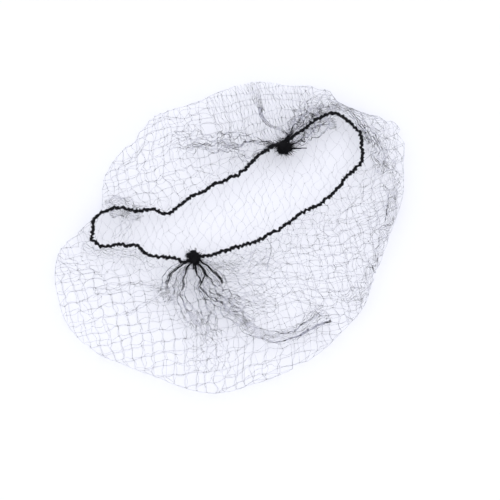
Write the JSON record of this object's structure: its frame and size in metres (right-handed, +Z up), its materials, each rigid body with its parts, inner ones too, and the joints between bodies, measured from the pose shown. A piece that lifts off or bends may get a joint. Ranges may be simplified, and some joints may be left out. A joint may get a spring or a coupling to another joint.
{
  "type": "hairnet",
  "caption": "Fine black mesh hairnet lying flat: a closed two-layer net bag with a long curved elastic-edged mouth and gathering knots on the elastic.",
  "frame": {"origin": "middle of the bag's box on the surface that it lies on", "axes": "+X along the mouth and the bag's length, +Y from the front rim to the back rim, +Z up, out of the mouth"},
  "size_m": [0.2153, 0.167, 0.0136],
  "materials": {
    "net": "fine black knotted nylon net, slight sheen",
    "elastic": "black thread-covered elastic cord, matt",
    "knot": "wound black thread, matt and fuzzy"
  },
  "bodies": {
    "root": {"net_bag": "net", "elastic_edge": "elastic", "knot_front": "knot", "knot_back": "knot"}
  },
  "joints": []
}
